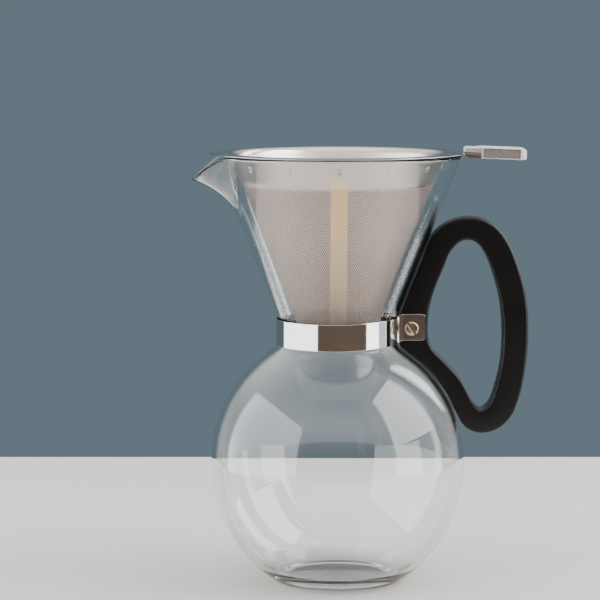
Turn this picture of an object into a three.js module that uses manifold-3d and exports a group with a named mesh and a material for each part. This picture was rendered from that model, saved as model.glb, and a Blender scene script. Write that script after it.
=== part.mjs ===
// Pour-over coffee carafe: a blown glass vessel with a funnel top and a spout, a stainless
// band that clamps a moulded handle to its neck, and a double-walled steel filter that lifts out.
// Millimetres, +Z up. The origin is the centre of the flat base. The handle is on +X,
// the spout on -X, and the clamp screw's head faces -Y.
import * as THREE from "three";
import { mergeVertices } from "three/addons/utils/BufferGeometryUtils.js";
import Module from "manifold-3d";

const wasm = await Module();
wasm.setup();

// ---------------------------------------------------------------- driving dimensions

const GAP = 0.3; // clearance between pieces that touch
const ROUND = 48; // segments round the main axis

// Glass vessel, outer surface
const BULB = { radius: 60.8, centre: 58.6, upper: 62, lower: 67.2 }; // half-heights above and below
const BASE = { flat: 28.4, corner: 30.4, height: 1.8 }; // flat radius, corner control, corner top
const NECK = { radius: 28.3, start: 116.2, end: 125.2 };
const CONE = { radius: 34.2, at: 142, slope: 0.392 }; // funnel radius at a height, and its slope
const RIM = 206.1; // top of the fire-polished rim
const WALL = { bulb: 2.0, funnel: 2.2, floor: 3.2 };

// Spout: the funnel wall bends out along a curve whose last point is the lip's tip
const SPOUT = { start: 173, halfAngleLow: 14, halfAngleTop: 32 };
const SPOUT_BEND = [[50.3, 184], [60.4, 190.6], [70.7, 194.2]];

// Band round the neck, with its two ears
const BAND = { inner: 29.1, thick: 0.7, bottom: 114.7, height: 12.7, bend: 1.3 };
const BAND_RISE = { ring: 0.9, ear: 1.8 }; // the strip climbs towards its ears
const EAR = { start: 31, end: 41.7, corner: 1.6 };

// Handle
const HANDLE = { thick: 13.4, edge: 1.8, off: 0.45 }; // off: distance kept from the glass

// Clamp screw, M4, with a slotted cheese head
const SCREW = { x: 35.2, z: 123.3, shank: 2.0, head: 3.4, headHigh: 2.1, slot: 1.2, slotDeep: 0.9 };
const SLOT_ANGLE = THREE.MathUtils.degToRad(57); // below the horizontal, going towards the handle
const CLEAR_HOLE = SCREW.shank + GAP;
const NUT = { flats: 7, thick: 3.2 };
const LOCK_WASHER = { outer: 3.6, thick: 0.9, split: 0.8 };

// Filter
const SHEET = { radius: 48.5, at: 199.9, slope: 0.387, thick: 0.4, bottom: 119.6, top: 200.6 };
const FILTER_GAP = 0.25; // between nested sheets, measured square to the cone
const MESH = { thick: 0.3, top: 201.6 };
const COLLAR = { thick: 0.5, bottom: 192.3, bendStart: 203.9 };
const FLANGE = { outer: 61.6, bottom: 206.5, thick: 0.5, bendEnd: 53.6 };
const CUP = { thick: 0.5, top: 124.5, bottom: 117.4, lip: 13 };
const BASE_MESH = { radius: 16.2, thick: 0.4 };
const ROLLED_EDGE = 0.1; // how much thinner the flange's outer edge is on each face

// Tab on the flange and the grip moulded over it, sloping down a little
const TAB = { length: 21.5, width: 12, thick: 0.6, deep: 2.4 };
const TAB_SLOT = { from: 2.8, to: 5, bottom: -1.7, top: -0.9 }; // drain slot in its turned-down edges
const GRIP_SLOPE = THREE.MathUtils.degToRad(2.2);
const GRIP = { neckStart: -1.5, start: 6.4, end: 28.2, width: 14.6, neckWidth: 13.4 };
const GRIP_HEIGHT = { bottom: -2.4, neckTop: 2.7, top: 3.1 }; // from the flange's top face
const GRIP_PANEL = { frame: 1.2, deep: 0.5 };

// ---------------------------------------------------------------- helpers

const v2 = (x, y) => new THREE.Vector2(x, y);
const curve2 = (a, b, c) => new THREE.QuadraticBezierCurve(v2(...a), v2(...b), v2(...c));
const smooth = (x, from, to) => THREE.MathUtils.smoothstep(x, from, to);

// A geometry as a manifold solid, and back.
function solid(geometry) {
  const bare = geometry.clone();
  bare.deleteAttribute("normal");
  bare.deleteAttribute("uv");
  const merged = mergeVertices(bare, 1e-4);
  const vertProperties = merged.attributes.position.array;
  const triVerts = new Uint32Array(merged.index.array);
  return new wasm.Manifold(new wasm.Mesh({ numProp: 3, vertProperties, triVerts }));
}

function geometryOf(manifold) {
  const { vertProperties, triVerts } = manifold.getMesh();
  const geometry = new THREE.BufferGeometry();
  geometry.setAttribute("position", new THREE.BufferAttribute(vertProperties, 3));
  geometry.setIndex(new THREE.BufferAttribute(triVerts, 1));
  return geometry;
}

// An outline of (radius, height) points turned round the Z axis.
function turned(outline, segments = ROUND) {
  return new THREE.LatheGeometry(outline, segments).rotateX(Math.PI / 2);
}

// A turned piece whose outline closes on itself.
const turnedRing = (points) => turned([...points, points[0]].map((p) => v2(...p)));

// Moves each vertex of a geometry by a function that changes the Vector3 in place.
function reshape(geometry, change) {
  const position = geometry.attributes.position;
  const vertex = new THREE.Vector3();
  for (let i = 0; i < position.count; i++) {
    change(vertex.fromBufferAttribute(position, i));
    position.setXYZ(i, vertex.x, vertex.y, vertex.z);
  }
  return geometry;
}

// A shape drawn in X and Z, extruded along Y and centred on it.
function slab(shape, width, bevel = 0, curveSegments = 8) {
  const geometry = new THREE.ExtrudeGeometry(shape, {
    depth: width - 2 * bevel,
    bevelEnabled: bevel > 0,
    bevelThickness: bevel,
    bevelSize: bevel,
    bevelOffset: -bevel,
    bevelSegments: 2,
    curveSegments,
  });
  return geometry.rotateX(Math.PI / 2).translate(0, width / 2 - bevel, 0);
}

// A box between two corners.
function block(low, high) {
  const size = high.map((value, i) => value - low[i]);
  return new THREE.BoxGeometry(...size).translate(...low.map((value, i) => value + size[i] / 2));
}

// A cylinder along Y through the clamp screw's axis, between two Y values.
function alongScrew(radius, from, to, segments = 24) {
  const geometry = new THREE.CylinderGeometry(radius, radius, to - from, segments);
  return geometry.translate(0, (from + to) / 2, 0).translate(SCREW.x, 0, SCREW.z);
}

function roundedRectangle(left, bottom, right, top, leftRadius, rightRadius) {
  const shape = new THREE.Shape();
  shape.moveTo(left + leftRadius, bottom);
  shape.lineTo(right - rightRadius, bottom);
  if (rightRadius) shape.absarc(right - rightRadius, bottom + rightRadius, rightRadius, -Math.PI / 2, 0);
  shape.lineTo(right, top - rightRadius);
  if (rightRadius) shape.absarc(right - rightRadius, top - rightRadius, rightRadius, 0, Math.PI / 2);
  shape.lineTo(left + leftRadius, top);
  if (leftRadius) shape.absarc(left + leftRadius, top - leftRadius, leftRadius, Math.PI / 2, Math.PI);
  shape.lineTo(left, bottom + leftRadius);
  if (leftRadius) shape.absarc(left + leftRadius, bottom + leftRadius, leftRadius, Math.PI, 1.5 * Math.PI);
  return shape;
}

// ---------------------------------------------------------------- carafe

const coneRadius = (z) => CONE.radius + CONE.slope * (z - CONE.at);

function bulbRadius(z) {
  const half = z > BULB.centre ? BULB.upper : BULB.lower;
  return BULB.radius * Math.sqrt(1 - ((z - BULB.centre) / half) ** 2);
}

// The vessel's outer outline, from the edge of the flat base up to the rim.
function glassOutline() {
  const bulbAt = (angle, half) =>
    v2(BULB.radius * Math.cos(angle), BULB.centre + half * Math.sin(angle));
  const lowest = -Math.asin((BULB.centre - BASE.height) / BULB.lower);
  const highest = THREE.MathUtils.degToRad(56.5); // where the bulb starts to bend into the neck
  const steps = 7;

  const corner = bulbAt(lowest, BULB.lower);
  const points = curve2([BASE.flat, 0], [BASE.corner, 0], corner.toArray()).getPoints(2);
  for (let i = 1; i <= steps; i++) points.push(bulbAt(lowest * (1 - i / steps), BULB.lower));
  for (let i = 1; i <= steps; i++) points.push(bulbAt((highest * i) / steps, BULB.upper));

  const shoulder = points.at(-1);
  const shoulderSlope = -BULB.upper / (BULB.radius * Math.tan(highest));
  const bendAt = shoulder.y + shoulderSlope * (NECK.radius - shoulder.x);
  const neckBend = curve2(shoulder.toArray(), [NECK.radius, bendAt], [NECK.radius, NECK.start]);
  points.push(...neckBend.getPoints(4).slice(1));

  const meet = CONE.at + (NECK.radius - CONE.radius) / CONE.slope; // where neck and cone lines cross
  const coneStart = 2 * meet - NECK.end;
  const coneBend = curve2([NECK.radius, NECK.end], [NECK.radius, meet], [coneRadius(coneStart), coneStart]);
  points.push(...coneBend.getPoints(3));

  points.push(v2(coneRadius(158), 158));
  const spoutSteps = 7;
  const lean = CONE.slope / Math.hypot(1, CONE.slope);
  const top = RIM - (1 + lean) * (WALL.funnel / 2); // so that the rounded edge ends at RIM
  for (let i = 0; i <= spoutSteps; i++) {
    const z = THREE.MathUtils.lerp(SPOUT.start, top, i / spoutSteps);
    points.push(v2(coneRadius(z), z));
  }
  return points;
}

// The inner outline: the outer one moved in by the wall's thickness.
function innerOutline(outer) {
  return outer.map((point, i) => {
    const before = outer[Math.max(i - 1, 0)];
    const after = outer[Math.min(i + 1, outer.length - 1)];
    const along = after.clone().sub(before).normalize();
    const thick = THREE.MathUtils.lerp(WALL.bulb, WALL.funnel, smooth(point.y, BULB.centre, NECK.start));
    return v2(point.x - along.y * thick, point.y + along.x * thick);
  });
}

// Bends the funnel's wall out into the spout. Only vertices near -X above SPOUT.start move.
function pullSpout(vertex) {
  const rise = (vertex.z - SPOUT.start) / (RIM - SPOUT.start);
  const angle = Math.abs(Math.atan2(vertex.y, -vertex.x));
  const half = THREE.MathUtils.degToRad(
    THREE.MathUtils.lerp(SPOUT.halfAngleLow, SPOUT.halfAngleTop, rise),
  );
  if (rise <= 0 || angle >= half) return;
  const start = v2(coneRadius(SPOUT.start), SPOUT.start);
  const bend = new THREE.CubicBezierCurve(start, ...SPOUT_BEND.map((p) => v2(...p)));
  const plain = v2(coneRadius(vertex.z), vertex.z);
  const shift = bend.getPoint(Math.min(rise, 1)).sub(plain);
  const near = Math.cos((Math.PI / 2) * (angle / half));
  const radius = Math.hypot(vertex.x, vertex.y);
  const scale = (radius + shift.x * near ** 1.2) / radius;
  vertex.set(vertex.x * scale, vertex.y * scale, vertex.z + shift.y * near ** 2);
}

function carafeGlass() {
  const outer = glassOutline();
  const inner = innerOutline(outer);
  const [rimOut, rimIn] = [outer.at(-1), inner.at(-1)];
  const middle = rimOut.clone().add(rimIn).multiplyScalar(0.5);
  const start = rimOut.clone().sub(middle).angle();
  const rim = [45, 90, 135].map((degrees) => {
    const turn = start + THREE.MathUtils.degToRad(degrees);
    const reach = WALL.funnel / 2;
    return v2(middle.x + reach * Math.cos(turn), middle.y + reach * Math.sin(turn));
  });
  const wall = inner.filter((point) => point.y > WALL.floor + 4).reverse();
  const floor = [v2(26, WALL.floor + 0.6), v2(0, WALL.floor)];
  return reshape(turned([v2(0, 0), ...outer, ...rim, ...wall, ...floor]), pullSpout);
}

const EAR_Y = HANDLE.thick / 2 + GAP + BAND.thick / 2; // middle of an ear's thickness
const bandRise = (x) => BAND_RISE.ring * smooth(x, 0, 26) + BAND_RISE.ear * smooth(x, 27.5, EAR.start);

// Points on an arc, both ends included.
function arc(x, y, radius, from, to, steps) {
  return Array.from({ length: steps + 1 }, (_, i) => {
    const angle = THREE.MathUtils.lerp(from, to, i / steps);
    return v2(x + radius * Math.cos(angle), y + radius * Math.sin(angle));
  });
}

// One face of the bent strip seen from above, side +1 for the outer face and -1 for the inner.
function stripFace(side) {
  const middle = BAND.inner + BAND.thick / 2;
  const half = (side * BAND.thick) / 2;
  const bendY = EAR_Y + BAND.bend;
  const bendX = Math.sqrt((middle + BAND.bend) ** 2 - bendY ** 2);
  const leave = Math.asin(bendY / (middle + BAND.bend)); // where the strip leaves the neck
  const end = EAR.start + 1;
  const upper = [
    ...arc(bendX, bendY, BAND.bend - half, Math.PI + leave, 1.5 * Math.PI, 4),
    v2(EAR.start, EAR_Y + half),
    v2(end, EAR_Y + half),
  ];
  const lower = upper.map((p) => v2(p.x, -p.y)).reverse();
  const ring = arc(0, 0, middle + half, -leave, leave - 2 * Math.PI, ROUND).slice(1, -1);
  return [...lower, ...ring, ...upper];
}

function neckBand() {
  const strip = new THREE.Shape([...stripFace(1), ...stripFace(-1).reverse()]);
  const ring = new THREE.ExtrudeGeometry(strip, { depth: BAND.height, bevelEnabled: false });
  ring.translate(0, 0, BAND.bottom);
  reshape(ring, (vertex) => vertex.setZ(vertex.z + bandRise(vertex.x)));

  const bottom = BAND.bottom + bandRise(EAR.start);
  const outline = roundedRectangle(EAR.start, bottom, EAR.end, bottom + BAND.height, 0, EAR.corner);
  let band = solid(ring);
  for (const side of [-1, 1]) {
    const ear = slab(outline, BAND.thick, 0, 4).translate(0, side * EAR_Y, 0);
    band = band.add(solid(ear));
  }
  return geometryOf(band.subtract(solid(alongScrew(CLEAR_HOLE, -10, 10))));
}

// The loop's outline in X and Z. Its inner side follows the glass, between the band's ears.
function handleOutline() {
  const besideCone = [166.5, 156, 145, 134, 129.5].map((z) => v2(coneRadius(z) + HANDLE.off, z));
  const besideNeck = [126, 118].map((z) => v2(NECK.radius + HANDLE.off, z));
  const besideShoulder = [v2(29.7, 114.2), v2(31.6, 112.3)];
  const besideBulb = [110.5, 108, 105, 98, 90, 83].map((z) => v2(bulbRadius(z) + HANDLE.off, z));
  const outside = [
    [60.9, 75.4], [68.5, 72.3], [77, 74.3], [83.2, 80], [87.2, 89.5], [90, 104], [91.2, 121],
    [90, 138], [86.4, 152], [81, 164.8], [74.5, 172.6], [66, 176.2], [56.6, 175.4], [49, 171.6],
  ].map((p) => v2(...p));
  return [...besideCone, ...besideNeck, ...besideShoulder, ...besideBulb, ...outside];
}

function handleOpening() {
  return [
    [59.5, 165], [53.8, 159.9], [50.3, 151.8], [46.4, 142.1], [43.6, 132], [43.2, 119], [45.2, 113.5],
    [51, 107.3], [58.7, 98.5], [65, 86.8], [68.5, 83.7], [72.5, 86.3], [76, 95.6], [78.4, 107.3],
    [79, 121], [78, 134], [75.2, 146], [70.3, 158.6], [65.3, 164.6],
  ].map((p) => v2(...p));
}

// A closed, smooth outline through points, as a list of evenly spaced points.
function smoothLoop(points, count) {
  const loop = new THREE.CatmullRomCurve3(
    points.map((p) => new THREE.Vector3(p.x, p.y, 0)),
    true,
    "centripetal",
  );
  return loop.getSpacedPoints(count).slice(0, -1).map((p) => v2(p.x, p.y));
}

function handle() {
  const shape = new THREE.Shape(smoothLoop(handleOutline(), 108));
  shape.holes.push(new THREE.Path(smoothLoop(handleOpening(), 52)));
  const body = solid(slab(shape, HANDLE.thick, HANDLE.edge));
  return geometryOf(body.subtract(solid(alongScrew(CLEAR_HOLE, -10, 10))));
}

// ---------------------------------------------------------------- clamp screw, washer and nut

const EAR_FACE = EAR_Y + BAND.thick / 2; // outer face of an ear
const WASHER_FACE = EAR_FACE + GAP + LOCK_WASHER.thick;

function clampScrew() {
  const underHead = -EAR_FACE - GAP;
  const tip = WASHER_FACE + GAP + NUT.thick + 1.2;
  const shank = alongScrew(SCREW.shank, underHead - 0.5, tip);
  const head = alongScrew(SCREW.head, underHead - SCREW.headHigh, underHead, 32);
  const slot = block([-5, -SCREW.slotDeep, -SCREW.slot / 2], [5, 1, SCREW.slot / 2])
    .rotateY(SLOT_ANGLE)
    .translate(SCREW.x, underHead - SCREW.headHigh, SCREW.z);
  slot.translate(0, SCREW.slotDeep - 1, 0);
  return geometryOf(solid(shank).add(solid(head)).subtract(solid(slot)));
}

function lockWasher() {
  const from = EAR_FACE + GAP;
  const ring = solid(alongScrew(LOCK_WASHER.outer, from, from + LOCK_WASHER.thick));
  const half = LOCK_WASHER.split / 2;
  const split = block([-half, from - 1, 0], [half, from + 2, 6]).translate(SCREW.x, 0, SCREW.z);
  const cut = ring.subtract(solid(alongScrew(CLEAR_HOLE, from - 1, from + 2)));
  return geometryOf(cut.subtract(solid(split)));
}

function clampNut() {
  const from = WASHER_FACE + GAP;
  const across = NUT.flats / Math.sqrt(3); // centre to corner
  const hex = solid(alongScrew(across, from, from + NUT.thick, 6));
  return geometryOf(hex.subtract(solid(alongScrew(CLEAR_HOLE, from - 1, from + NUT.thick + 1))));
}

// ---------------------------------------------------------------- filter

const SLANT = Math.hypot(1, SHEET.slope); // horizontal thickness over true thickness
const sheetRadius = (z) => SHEET.radius + SHEET.slope * (z - SHEET.at);
const meshRadius = (z) => sheetRadius(z) - (SHEET.thick + FILTER_GAP) * SLANT;
const collarRadius = (z) => sheetRadius(z) + (FILTER_GAP + COLLAR.thick) * SLANT;

// A straight conical wall between two heights, given its outer radius.
function coneWall(radiusAt, thick, bottom, top) {
  const across = thick * SLANT;
  return turnedRing([
    [radiusAt(bottom), bottom],
    [radiusAt(top), top],
    [radiusAt(top) - across, top],
    [radiusAt(bottom) - across, bottom],
  ]);
}

const FLANGE_TOP = FLANGE.bottom + FLANGE.thick;

// The collar bends out into the flange at the top.
function collarAndFlange() {
  const inner = (z) => collarRadius(z) - COLLAR.thick * SLANT;
  const under = curve2(
    [collarRadius(COLLAR.bendStart), COLLAR.bendStart],
    [collarRadius(FLANGE.bottom), FLANGE.bottom],
    [FLANGE.bendEnd, FLANGE.bottom],
  ).getPoints(4);
  const over = curve2(
    [FLANGE.bendEnd, FLANGE_TOP],
    [inner(FLANGE_TOP), FLANGE_TOP],
    [inner(COLLAR.bendStart), COLLAR.bendStart],
  ).getPoints(4);
  return turnedRing([
    [collarRadius(COLLAR.bottom), COLLAR.bottom],
    ...under.map((p) => p.toArray()),
    [FLANGE.outer, FLANGE.bottom + ROLLED_EDGE],
    [FLANGE.outer, FLANGE_TOP - ROLLED_EDGE],
    ...over.map((p) => p.toArray()),
    [inner(COLLAR.bottom), COLLAR.bottom],
  ]);
}

// Puts a geometry made round the tab's root on the flange's edge, sloping down.
function onTab(geometry) {
  return geometry.rotateY(GRIP_SLOPE).translate(FLANGE.outer, 0, FLANGE_TOP);
}

// The flange's tab: a channel with turned-down edges.
function filterRim() {
  const half = TAB.width / 2;
  const outside = block([-2, -half, -TAB.thick], [TAB.length, half, 0]);
  let tab = solid(outside);
  for (const side of [-1, 1]) {
    const [low, high] = [half - TAB.thick, half].map((y) => y * side).sort((a, b) => a - b);
    tab = tab.add(solid(block([-0.2, low, -TAB.deep], [TAB.length, high, -TAB.thick / 2])));
  }
  const slot = block([TAB_SLOT.from, -half - 1, TAB_SLOT.bottom], [TAB_SLOT.to, half + 1, TAB_SLOT.top]);
  tab = tab.subtract(solid(slot));
  return geometryOf(solid(collarAndFlange()).add(solid(onTab(geometryOf(tab)))));
}

const filterOuterCone = () => coneWall(sheetRadius, SHEET.thick, SHEET.bottom, SHEET.top);
const filterInnerMesh = () => coneWall(meshRadius, MESH.thick, SHEET.bottom, MESH.top);

// A shallow cup round the cones' lower ends, open in the middle.
function filterBaseCup() {
  const inner = (z) => sheetRadius(z) + FILTER_GAP * SLANT;
  const outer = (z) => inner(z) + CUP.thick * SLANT;
  const floor = CUP.bottom + CUP.thick;
  return turnedRing([
    [CUP.lip, CUP.bottom],
    [outer(CUP.bottom) - 0.5, CUP.bottom],
    [outer(CUP.bottom + 0.6), CUP.bottom + 0.6],
    [outer(CUP.top), CUP.top],
    [inner(CUP.top), CUP.top],
    [inner(floor), floor],
    [CUP.lip, floor],
  ]);
}

function filterBaseMesh() {
  const bottom = CUP.bottom + CUP.thick + GAP;
  const disc = [[0, bottom], [BASE_MESH.radius, bottom]];
  const top = [[BASE_MESH.radius, bottom + BASE_MESH.thick], [0, bottom + BASE_MESH.thick]];
  return turned([...disc, ...top].map((p) => v2(...p)));
}

// Moulded grip: a hood over the tab, with a neck that reaches back over the flange's edge.
function filterGrip() {
  const { bottom, neckTop, top } = GRIP_HEIGHT;
  const side = new THREE.Shape();
  side.moveTo(GRIP.neckStart, GAP);
  side.lineTo(GRIP.start, GAP);
  side.lineTo(GRIP.start, bottom);
  side.lineTo(GRIP.end - 0.6, bottom);
  side.quadraticCurveTo(GRIP.end, bottom, GRIP.end, bottom + 0.6);
  side.lineTo(GRIP.end, top - 1.5);
  side.quadraticCurveTo(GRIP.end - 0.4, top - 0.2, GRIP.end - 2.4, top);
  side.lineTo(GRIP.start + 2, top);
  side.quadraticCurveTo(GRIP.start, top, GRIP.start - 3, neckTop);
  side.lineTo(GRIP.neckStart + 0.8, neckTop - 0.2);
  side.quadraticCurveTo(GRIP.neckStart, neckTop - 0.3, GRIP.neckStart, neckTop - 1.1);
  const plan = roundedRectangle(GRIP.neckStart - 1, -GRIP.width / 2, GRIP.end, GRIP.width / 2, 0, 4);
  const planSlab = new THREE.ExtrudeGeometry(plan, { depth: 10, bevelEnabled: false, curveSegments: 5 });
  let grip = solid(slab(side, GRIP.width, 0, 3)).intersect(solid(planSlab.translate(0, 0, -4)));

  const pocketHalf = TAB.width / 2 + GAP;
  const pocket = [[GRIP.start - 1, -pocketHalf, bottom - 1], [TAB.length + GAP, pocketHalf, GAP]];
  grip = grip.subtract(solid(block(...pocket)));
  const frame = GRIP_PANEL.frame;
  const panel = [
    [GRIP.start + frame, 0, bottom + frame],
    [GRIP.end - 4.5, GRIP_PANEL.deep + 1, top - frame],
  ];
  for (const y of [-GRIP.width / 2 - 1, GRIP.width / 2 - GRIP_PANEL.deep]) {
    grip = grip.subtract(solid(block(...panel).translate(0, y, 0)));
  }
  const neckSide = (GRIP.width - GRIP.neckWidth) / 2;
  for (const y of [-GRIP.width / 2 - 1, GRIP.width / 2 - neckSide]) {
    const cut = block([GRIP.neckStart - 2, 0, -1], [GRIP.start, neckSide + 1, top + 1]);
    grip = grip.subtract(solid(cut.translate(0, y, 0)));
  }
  return onTab(geometryOf(grip));
}

// ---------------------------------------------------------------- assembly

const steel = { color: 0xc9c9c7, metalness: 1, roughness: 0.25 };
const finishes = {
  glass: { color: 0xdfe8e6, metalness: 0, roughness: 0.05, transparent: true, opacity: 0.35 },
  polished: { ...steel, roughness: 0.08 },
  sheet: { ...steel, roughness: 0.35 },
  mesh: { ...steel, color: 0xa9a39a, roughness: 0.5 },
  screw: { color: 0xb79a6a, metalness: 1, roughness: 0.3 },
  zinc: { color: 0x9fa3a6, metalness: 1, roughness: 0.4 },
  handle: { color: 0x17181a, metalness: 0, roughness: 0.55 },
  grip: { color: 0xbab6b2, metalness: 0, roughness: 0.5 },
};

function piece(name, geometry, finish) {
  const mesh = new THREE.Mesh(geometry, new THREE.MeshStandardMaterial(finish));
  mesh.name = name;
  return mesh;
}

const carafe = new THREE.Group().add(
  piece("carafe_glass", carafeGlass(), finishes.glass),
  piece("neck_band", neckBand(), finishes.polished),
  piece("handle", handle(), finishes.handle),
  piece("clamp_screw", clampScrew(), finishes.screw),
  piece("lock_washer", lockWasher(), finishes.zinc),
  piece("clamp_nut", clampNut(), finishes.zinc),
);

const filter = new THREE.Group().add(
  piece("filter_rim", filterRim(), finishes.polished),
  piece("filter_outer_cone", filterOuterCone(), finishes.sheet),
  piece("filter_inner_mesh", filterInnerMesh(), finishes.mesh),
  piece("filter_base_cup", filterBaseCup(), finishes.polished),
  piece("filter_base_mesh", filterBaseMesh(), finishes.mesh),
  piece("filter_grip", filterGrip(), finishes.grip),
);

const part = new THREE.Group().add(carafe, filter);

export default part;
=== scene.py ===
"""Looks for the pour-over carafe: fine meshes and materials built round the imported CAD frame.

Shapes are worked out in millimetres, +Z up, handle on +X, spout on -X, and scaled to metres
when a mesh is made. The driving dimensions repeat those of the CAD part, apart from the
handle's edge radius, which is a little smaller here.
"""

import math

import bmesh
import bpy
from mathutils import Matrix, Vector


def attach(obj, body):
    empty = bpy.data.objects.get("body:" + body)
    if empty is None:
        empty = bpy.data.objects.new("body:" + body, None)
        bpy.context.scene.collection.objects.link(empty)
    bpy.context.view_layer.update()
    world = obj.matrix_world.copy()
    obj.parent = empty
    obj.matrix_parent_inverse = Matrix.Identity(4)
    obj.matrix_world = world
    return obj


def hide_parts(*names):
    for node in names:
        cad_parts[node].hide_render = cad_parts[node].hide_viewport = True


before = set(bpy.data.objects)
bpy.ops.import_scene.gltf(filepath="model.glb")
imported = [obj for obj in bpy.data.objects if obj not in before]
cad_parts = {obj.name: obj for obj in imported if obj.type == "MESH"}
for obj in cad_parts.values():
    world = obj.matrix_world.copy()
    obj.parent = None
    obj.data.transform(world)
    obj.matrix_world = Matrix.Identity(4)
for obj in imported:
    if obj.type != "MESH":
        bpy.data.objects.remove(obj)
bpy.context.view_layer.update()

MM = 0.001

# ------------------------------------------------------------------ camera

FOCAL_PX, FRAME_PX = 2620.0, 600.0
CAMERA_AT = (-0.0181, -1.25, 0.2743)
CAMERA_DOWN = math.radians(6.31)

camera_data = bpy.data.cameras.new("camera")
camera_data.sensor_width = 36.0
camera_data.lens = FOCAL_PX * camera_data.sensor_width / FRAME_PX
camera = bpy.data.objects.new("camera", camera_data)
camera.location = CAMERA_AT
camera.rotation_euler = (math.radians(90) - CAMERA_DOWN, 0.0, 0.0)
bpy.context.scene.collection.objects.link(camera)
bpy.context.scene.camera = camera

# ------------------------------------------------------------------ dimensions, in millimetres

BULB_R, BULB_Z, BULB_UP, BULB_LOW = 60.8, 58.6, 62.0, 67.2
NECK_R, NECK_FROM, NECK_TO = 28.3, 116.2, 125.2
CONE_R, CONE_AT, CONE_SLOPE = 34.2, 142.0, 0.392
RIM_Z = 206.1
SPOUT_FROM = 173.0
SPOUT_BEND = [(50.3, 184.0), (60.4, 190.6), (70.7, 194.2)]
SPOUT_HALF = (14.0, 32.0)
FOOT_R, FOOT_HEIGHT, FOOT_CORNER = 27.2, 1.8, 30.4
BULB_WALL, WALL_GAIN, RIM_ROUND = 2.0, 0.2, 1.1

BAND_IN, BAND_T, BAND_Z, BAND_H, BAND_BEND = 29.1, 0.7, 114.7, 12.7, 1.3
EAR_FROM, EAR_TO, EAR_CORNER = 31.0, 41.7, 1.6
RING_RISE, EAR_RISE = 0.9, 1.8
HANDLE_T, HANDLE_EDGE, HANDLE_OFF = 13.4, 1.5, 0.45
GAP = 0.3
EAR_Y = HANDLE_T / 2 + GAP + BAND_T / 2
EAR_FACE = EAR_Y + BAND_T / 2
SCREW_X, SCREW_Z, SHANK_R, HEAD_R, HEAD_H = 35.2, 123.3, 2.0, 3.4, 2.1
SLOT_ANGLE = math.radians(57)
THREAD_PITCH = 0.7
WASHER_T, NUT_T, NUT_FLATS = 0.9, 3.2, 7.0
NUT_BORE = SHANK_R + GAP
WASHER_FROM = EAR_FACE + GAP
NUT_FROM = WASHER_FROM + WASHER_T + GAP

SHEET_R, SHEET_AT, SHEET_SLOPE, SHEET_T = 48.5, 199.9, 0.387, 0.4
SHEET_LOW, SHEET_HIGH, MESH_HIGH, MESH_T = 119.6, 200.6, 201.6, 0.3
NEST = 0.25
SLANT = math.hypot(1.0, SHEET_SLOPE)
FLANGE_R, FLANGE_Z, FLANGE_T, FLANGE_BEND = 61.6, 206.5, 0.5, 53.6
COLLAR_LOW, COLLAR_BEND, COLLAR_T = 192.3, 203.9, 0.5
CUP_LOW, CUP_HIGH, CUP_FLOOR, CUP_LIP, CUP_T = 117.4, 124.5, 117.9, 13.0, 0.5
SCREEN_LOW, SCREEN_HIGH, SCREEN_R = 118.2, 118.6, 16.2
TAB_HALF, TAB_T, TAB_LENGTH, TAB_DEEP = 6.0, 0.6, 21.5, 2.4
GRIP_SLOPE = math.radians(2.2)
GRIP_FROM, GRIP_TO, GRIP_LOW, GRIP_HIGH, GRIP_HALF = 6.4, 28.2, -2.4, 3.1, 7.3
WELD_SPOTS, WELD_Z = 13, 200.5


def cone_radius(z):
    return CONE_R + CONE_SLOPE * (z - CONE_AT)


def bulb_radius(z):
    half = BULB_UP if z > BULB_Z else BULB_LOW
    return BULB_R * math.sqrt(1 - ((z - BULB_Z) / half) ** 2)


def sheet_radius(z):
    return SHEET_R + SHEET_SLOPE * (z - SHEET_AT)


def collar_radius(z):
    return sheet_radius(z) + (NEST + COLLAR_T) * SLANT


def smoothstep(x, low, high):
    t = min(max((x - low) / (high - low), 0.0), 1.0)
    return t * t * (3 - 2 * t)


# ------------------------------------------------------------------ mesh helpers

def mesh_object(name, vertices, faces, smooth=True):
    """A mesh object from millimetre vertices, normals made consistent and facing out."""
    data = bpy.data.meshes.new(name)
    data.from_pydata([tuple(c * MM for c in v) for v in vertices], [], faces)
    obj = bpy.data.objects.new(name, data)
    bpy.context.scene.collection.objects.link(obj)
    tidy_mesh(obj, smooth)
    return obj


def tidy_mesh(obj, smooth=True, merge=2e-7):
    work = bmesh.new()
    work.from_mesh(obj.data)
    bmesh.ops.remove_doubles(work, verts=work.verts, dist=merge)
    bmesh.ops.recalc_face_normals(work, faces=work.faces)
    for face in work.faces:
        face.smooth = smooth
    work.to_mesh(obj.data)
    work.free()
    obj.data.update()


def quadratic(a, b, c, steps):
    """Points on a quadratic Bezier curve, the first left out."""
    points = []
    for i in range(1, steps + 1):
        t = i / steps
        points.append(tuple(
            (1 - t) ** 2 * p + 2 * t * (1 - t) * q + t * t * r for p, q, r in zip(a, b, c)
        ))
    return points


def cubic(a, b, c, d, t):
    s = 1 - t
    return tuple(
        s ** 3 * p + 3 * s * s * t * q + 3 * s * t * t * r + t ** 3 * u
        for p, q, r, u in zip(a, b, c, d)
    )


def arc(x, y, radius, start, end, steps):
    return [
        (x + radius * math.cos(start + (end - start) * i / steps),
         y + radius * math.sin(start + (end - start) * i / steps))
        for i in range(steps + 1)
    ]


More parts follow.
